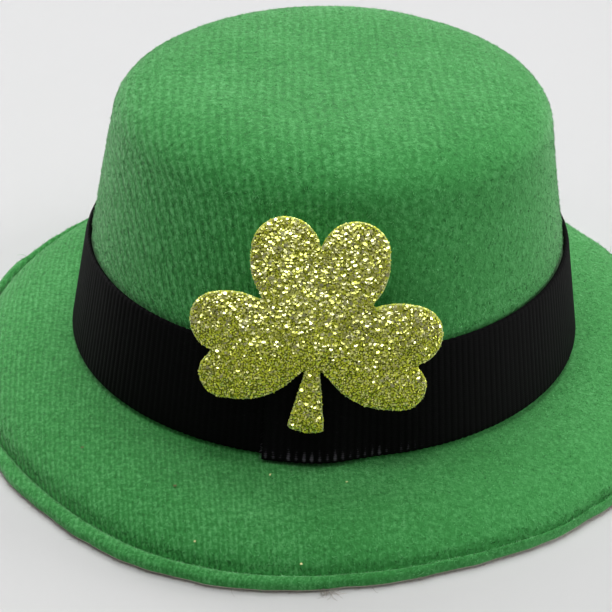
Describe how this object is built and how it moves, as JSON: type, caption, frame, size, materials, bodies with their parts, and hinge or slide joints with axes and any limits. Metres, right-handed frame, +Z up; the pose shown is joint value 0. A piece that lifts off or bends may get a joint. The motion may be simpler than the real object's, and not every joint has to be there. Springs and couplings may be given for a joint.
{
  "type": "top hat hair clip",
  "caption": "Small green felt-like hat with a domed brim, black ribbed ribbon band and a gold glitter foam shamrock at the front, worn on the hair by a spring clip under the back of the brim.",
  "frame": {"origin": "centre of the trimmed brim on the surface that the hat stands on", "axes": "+Z up through the crown, front with the shamrock towards -Y, +X to the right of someone facing the front"},
  "size_m": [0.1218, 0.1439, 0.0519],
  "materials": {
    "green_felt": "brushed knit nap, matt with a soft sheen, on a grey backing",
    "black_ribbon": "ribbed weave, matt black",
    "glitter_foam": "gold glitter on soft foam, with plain lime-green cut sides",
    "clip_steel": "plain plated spring steel"
  },
  "bodies": {
    "root": {"hat_body": "green_felt", "hat_band": "black_ribbon", "shamrock": "glitter_foam", "hair_clip": "clip_steel"}
  },
  "joints": []
}
